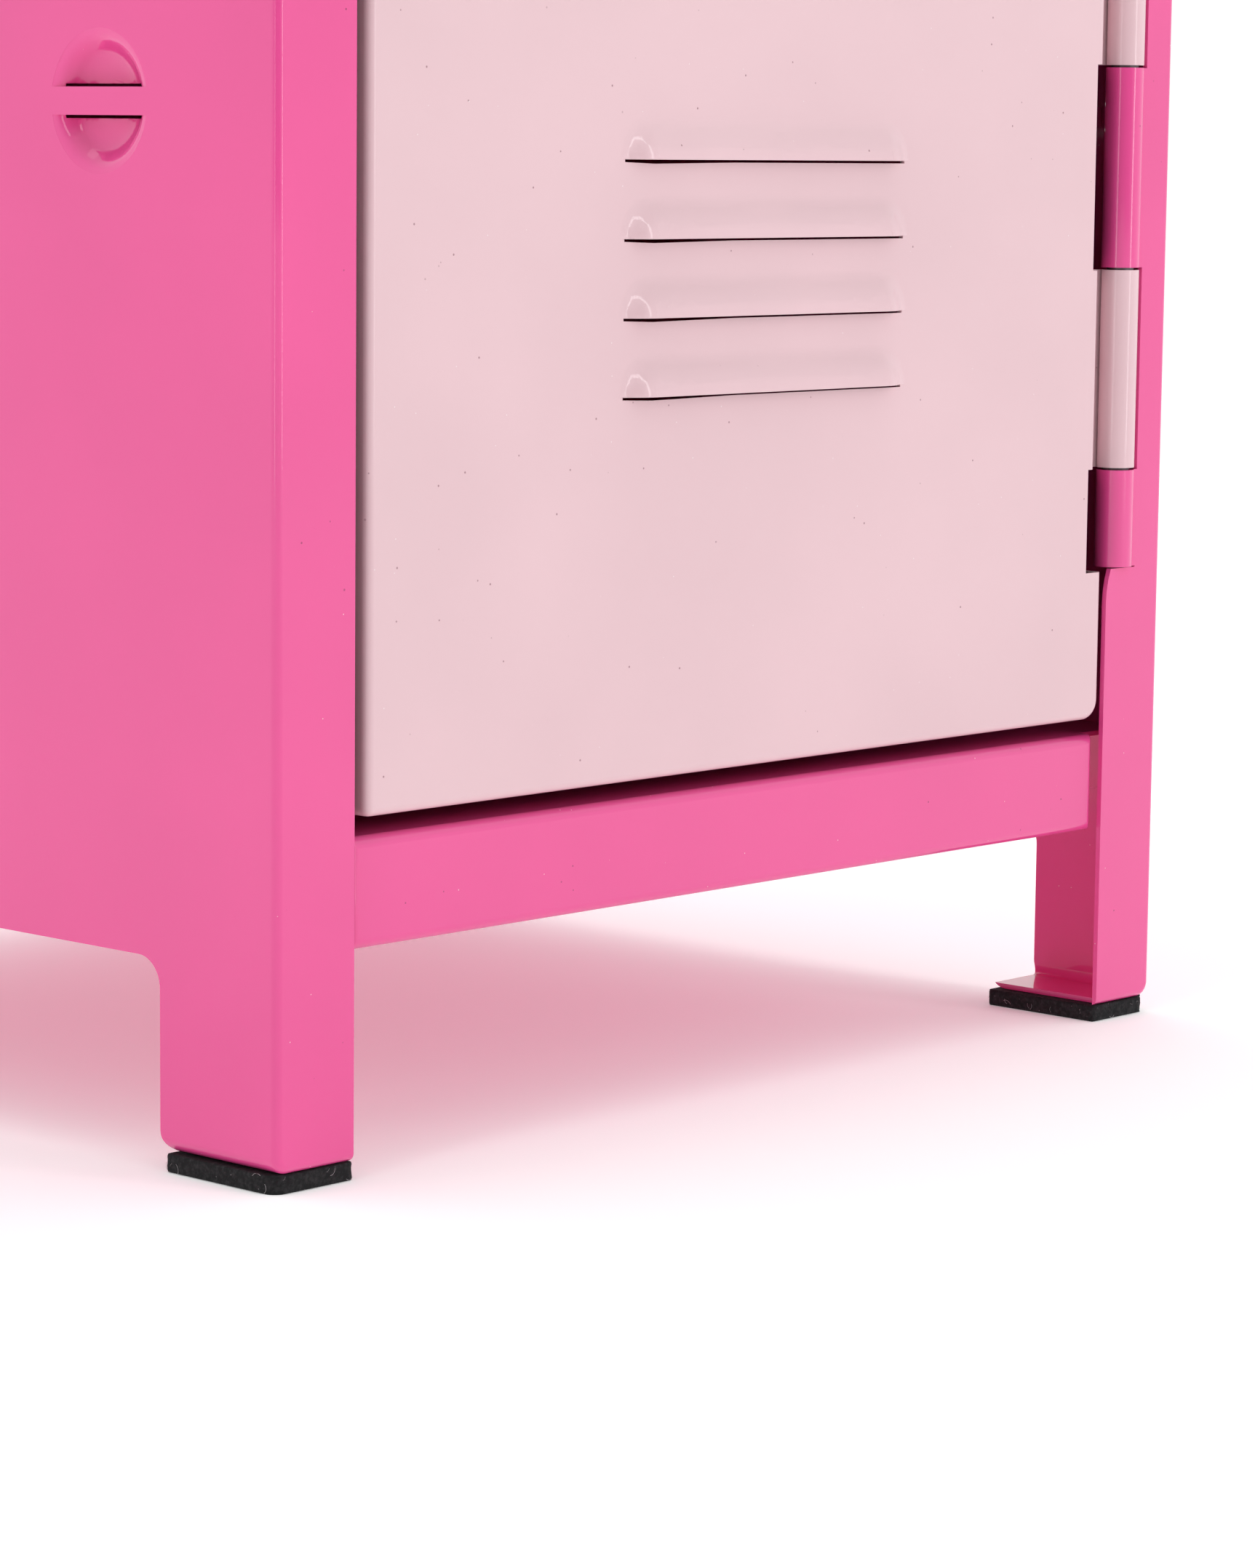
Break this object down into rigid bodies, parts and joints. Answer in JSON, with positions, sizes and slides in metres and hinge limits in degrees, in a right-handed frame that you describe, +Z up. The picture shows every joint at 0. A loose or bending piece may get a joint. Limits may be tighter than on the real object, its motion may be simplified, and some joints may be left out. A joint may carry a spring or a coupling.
{
  "type": "locker cabinet",
  "caption": "Small two-tone steel locker cabinet with inner shelves, a louvred door on a knuckle hinge, a padlock hasp and padded feet.",
  "frame": {"origin": "on the ground under the middle of the whole cabinet, padlock eye included", "axes": "+Z up, +Y towards the back, the door faces -Y and is hinged at +X"},
  "size_m": [0.1806, 0.191, 0.3411],
  "materials": {
    "body_paint": "hot pink gloss powder coat",
    "door_paint": "pale pink gloss powder coat",
    "door_paint_rivet": "pale pink paint over a steel rivet",
    "bright_steel": "bright drawn steel",
    "zinc_plate": "bright nickel plate",
    "white_plastic": "white moulded plastic",
    "magnet": "dark sintered magnet",
    "foam": "black closed-cell foam"
  },
  "bodies": {
    "cabinet": {"left_side": "body_paint", "right_side": "body_paint", "back_panel": "body_paint", "bottom_tray": "body_paint", "top_panel": "body_paint", "lower_shelf": "body_paint", "upper_shelf": "body_paint", "hinge_pin": "bright_steel", "padlock_eye": "zinc_plate", "eye_rivets": "zinc_plate", "catch_housing": "white_plastic", "catch_magnet": "magnet", "catch_rivets": "white_plastic", "foot_pad_left_front": "foam", "foot_pad_left_rear": "foam", "foot_pad_right_front": "foam", "foot_pad_right_rear": "foam"},
    "door": {"door_panel": "door_paint", "hasp_base": "zinc_plate", "hasp_rivets": "zinc_plate", "hasp_pin": "bright_steel", "striker_plate": "bright_steel", "striker_rivet": "door_paint_rivet"},
    "strap": {"hasp_strap": "zinc_plate"}
  },
  "joints": [
    {"name": "door_hinge", "type": "hinge", "parent": "cabinet", "child": "door", "pos_m": [0.0806, -0.0827, 0.185], "axis": [0, 0, 1], "range_deg": [0, 120]},
    {"name": "hasp_hinge", "type": "hinge", "parent": "door", "child": "strap", "pos_m": [-0.066, -0.0867, 0.185], "axis": [0, 0, 1], "range_deg": [0, 180]}
  ]
}
